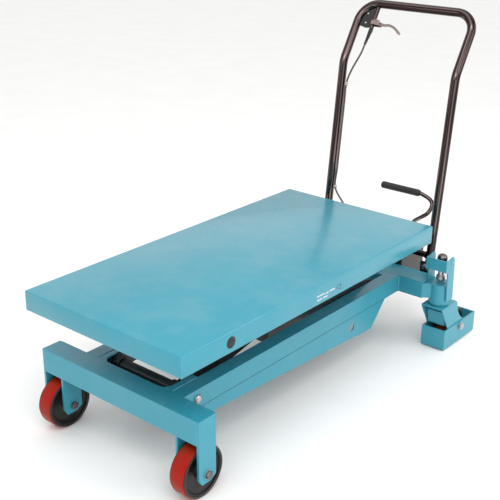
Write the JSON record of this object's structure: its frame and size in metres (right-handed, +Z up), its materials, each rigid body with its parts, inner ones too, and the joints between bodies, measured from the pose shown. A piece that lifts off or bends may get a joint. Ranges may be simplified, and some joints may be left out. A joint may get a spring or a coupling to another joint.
{
  "type": "mobile scissor lift table",
  "caption": "Mobile hydraulic scissor lift table: teal steel deck on black arms, red wheels, braked swivel castors, foot pump pedal and bent chrome push handle.",
  "frame": {"origin": "middle of the whole table's footprint, on the floor", "axes": "+X from the deck's front edge towards the push handle, +Y to the side of the release lever, +Z up"},
  "size_m": [1.3212, 0.6306, 0.9232],
  "materials": {
    "amber_polyurethane": "moulded amber polyurethane, taken as rubber",
    "black_paint": "satin black paint",
    "black_rubber": "matt black rubber",
    "cast_core": "painted cast iron",
    "chrome": "bright chrome plate",
    "dark_steel": "dark oiled steel",
    "lever_alloy": "polished cast alloy",
    "polyurethane": "moulded red polyurethane, taken as rubber",
    "teal_paint": "glossy teal paint",
    "zinc_steel": "bright zinc plate"
  },
  "bodies": {
    "base": {"front_crossbar": "teal_paint", "rear_crossbeam": "teal_paint", "side_rail_right": "teal_paint", "side_rail_left": "teal_paint", "castor_housing_right": "teal_paint", "castor_housing_left": "teal_paint", "cylinder_anchor": "teal_paint", "pump_body": "black_paint", "handle_bracket_right": "black_paint", "handle_bracket_left": "black_paint", "push_handle": "chrome", "handle_brace": "chrome", "base_pivot_pin_right": "zinc_steel", "base_pivot_pin_left": "zinc_steel", "front_axle_right": "dark_steel", "front_axle_left": "dark_steel", "lever_bracket": "black_paint", "cable_boot": "black_rubber", "control_cable": "black_rubber"},
    "inner_arms": {"inner_arm_right": "black_paint", "inner_arm_left": "black_paint", "inner_front_tube": "black_paint", "rod_cross_tube": "black_paint", "inner_rear_tube": "black_paint"},
    "outer_arms": {"outer_arm_right": "black_paint", "outer_arm_left": "black_paint", "outer_front_tube": "black_paint", "outer_rear_tube": "black_paint"},
    "platform": {"deck": "teal_paint", "deck_rail_right": "teal_paint", "deck_rail_left": "teal_paint", "deck_plug_right": "black_rubber", "deck_plug_left": "black_rubber"},
    "barrel": {"cylinder_barrel": "black_paint"},
    "rod": {"cylinder_rod": "chrome"},
    "pedal": {"pedal_lever": "chrome", "pedal_grip": "black_rubber"},
    "piston": {"pump_piston": "zinc_steel"},
    "hand_lever": {"hand_lever": "lever_alloy"},
    "valve_lever": {"release_valve_lever": "zinc_steel"},
    "front_wheel_right": {"front_wheel_right_tread": "polyurethane", "front_wheel_right_core": "cast_core"},
    "castor_right": {"castor_fork_right": "teal_paint", "castor_axle_right": "zinc_steel"},
    "castor_wheel_right": {"castor_wheel_right_tread": "amber_polyurethane", "castor_wheel_right_core": "cast_core"},
    "brake_plunger_right": {"brake_plunger_right": "dark_steel"},
    "brake_shoe_right": {"brake_shoe_right": "teal_paint"},
    "base_roller_right": {"base_roller_right": "dark_steel"},
    "deck_roller_right": {"deck_roller_right": "dark_steel"},
    "front_wheel_left": {"front_wheel_left_tread": "polyurethane", "front_wheel_left_core": "cast_core"},
    "castor_left": {"castor_fork_left": "teal_paint", "castor_axle_left": "zinc_steel"},
    "castor_wheel_left": {"castor_wheel_left_tread": "amber_polyurethane", "castor_wheel_left_core": "cast_core"},
    "brake_plunger_left": {"brake_plunger_left": "dark_steel"},
    "brake_shoe_left": {"brake_shoe_left": "teal_paint"},
    "base_roller_left": {"base_roller_left": "dark_steel"},
    "deck_roller_left": {"deck_roller_left": "dark_steel"}
  },
  "joints": [
    {"name": "lift", "type": "hinge", "parent": "base", "child": "inner_arms", "pos_m": [-0.5186, 0, 0.1815], "axis": [0, -1, 0], "range_deg": [0, 43.2]},
    {"name": "outer_arms_turn", "type": "hinge", "parent": "inner_arms", "child": "outer_arms", "pos_m": [-0.12743, 0, 0.2651], "axis": [0, -1, 0], "range_deg": [-86.5, 0]},
    {"name": "platform_level", "type": "hinge", "parent": "outer_arms", "child": "platform", "pos_m": [-0.5186, 0, 0.3487], "axis": [0, -1, 0], "range_deg": [0, 43.3]},
    {"name": "barrel_tilt", "type": "hinge", "parent": "base", "child": "barrel", "pos_m": [0.2944, 0, 0.1335], "axis": [0, -1, 0], "range_deg": [-10.6, 0]},
    {"name": "rod_turn", "type": "hinge", "parent": "inner_arms", "child": "rod", "pos_m": [-0.3006, 0, 0.22809], "axis": [0, -1, 0], "range_deg": [-53.8, 0]},
    {"name": "pedal_press", "type": "hinge", "parent": "base", "child": "pedal", "pos_m": [0.4844, -0.08, 0.2505], "axis": [0, 1, 0], "range_deg": [0, 35], "stiffness_Nm_per_rad": 8, "springref_deg": -20.05},
    {"name": "piston_stroke", "type": "slide", "parent": "base", "child": "piston", "axis": [0, 0, -1], "range_m": [0, 0.0144]},
    {"name": "release_squeeze", "type": "hinge", "parent": "base", "child": "hand_lever", "pos_m": [0.57354, 0.1285, 0.85763], "axis": [-0.8576, 0, 0.5143], "range_deg": [0, 22], "stiffness_Nm_per_rad": 1.5, "springref_deg": -17.19},
    {"name": "valve_turn", "type": "hinge", "parent": "base", "child": "valve_lever", "pos_m": [0.4594, -0.0347, 0.1735], "axis": [0, -1, 0], "range_deg": [0, 26.5]},
    {"name": "front_wheel_right_roll", "type": "hinge", "parent": "base", "child": "front_wheel_right", "pos_m": [-0.59, -0.2205, 0.0635], "axis": [0, 1, 0], "continuous": true},
    {"name": "castor_right_swivel", "type": "hinge", "parent": "base", "child": "castor_right", "pos_m": [0.3714, -0.27, 0.1425], "axis": [0, 0, 1], "continuous": true},
    {"name": "castor_wheel_right_roll", "type": "hinge", "parent": "castor_right", "child": "castor_wheel_right", "pos_m": [0.4464, -0.27, 0.05], "axis": [0, 1, 0], "continuous": true},
    {"name": "brake_right_press", "type": "slide", "parent": "base", "child": "brake_plunger_right", "axis": [0, 0, -1], "range_m": [0, 0.0055], "stiffness_N_per_m": 800, "springref_m": -0.01},
    {"name": "brake_shoe_right_press", "type": "slide", "parent": "castor_right", "child": "brake_shoe_right", "axis": [0, 0, -1], "range_m": [0, 0.0056]},
    {"name": "base_roller_right_roll", "type": "hinge", "parent": "outer_arms", "child": "base_roller_right", "pos_m": [0.26373, -0.1225, 0.1815], "axis": [0, 1, 0], "continuous": true},
    {"name": "deck_roller_right_roll", "type": "hinge", "parent": "inner_arms", "child": "deck_roller_right", "pos_m": [0.26373, -0.1225, 0.3487], "axis": [0, 1, 0], "continuous": true},
    {"name": "front_wheel_left_roll", "type": "hinge", "parent": "base", "child": "front_wheel_left", "pos_m": [-0.59, 0.2205, 0.0635], "axis": [0, 1, 0], "continuous": true},
    {"name": "castor_left_swivel", "type": "hinge", "parent": "base", "child": "castor_left", "pos_m": [0.3714, 0.27, 0.1425], "axis": [0, 0, 1], "continuous": true},
    {"name": "castor_wheel_left_roll", "type": "hinge", "parent": "castor_left", "child": "castor_wheel_left", "pos_m": [0.4464, 0.27, 0.05], "axis": [0, 1, 0], "continuous": true},
    {"name": "brake_left_press", "type": "slide", "parent": "base", "child": "brake_plunger_left", "axis": [0, 0, -1], "range_m": [0, 0.0055], "stiffness_N_per_m": 800, "springref_m": -0.01},
    {"name": "brake_shoe_left_press", "type": "slide", "parent": "castor_left", "child": "brake_shoe_left", "axis": [0, 0, -1], "range_m": [0, 0.0056]},
    {"name": "base_roller_left_roll", "type": "hinge", "parent": "outer_arms", "child": "base_roller_left", "pos_m": [0.26373, 0.1225, 0.1815], "axis": [0, 1, 0], "continuous": true},
    {"name": "deck_roller_left_roll", "type": "hinge", "parent": "inner_arms", "child": "deck_roller_left", "pos_m": [0.26373, 0.1225, 0.3487], "axis": [0, 1, 0], "continuous": true}
  ],
  "couplings": [
    {"joint": "outer_arms_turn", "follows": "lift", "ratio": -2},
    {"joint": "platform_level", "follows": "lift", "ratio": 1},
    {"joint": "barrel_tilt", "follows": "lift", "ratio": -0.2432},
    {"joint": "rod_turn", "follows": "lift", "ratio": -1.2432},
    {"joint": "piston_stroke", "follows": "pedal_press", "m_per_rad": 0.0232},
    {"joint": "valve_turn", "follows": "release_squeeze", "ratio": 1.2},
    {"joint": "brake_shoe_right_press", "follows": "brake_right_press", "ratio": 1},
    {"joint": "brake_shoe_left_press", "follows": "brake_left_press", "ratio": 1}
  ]
}
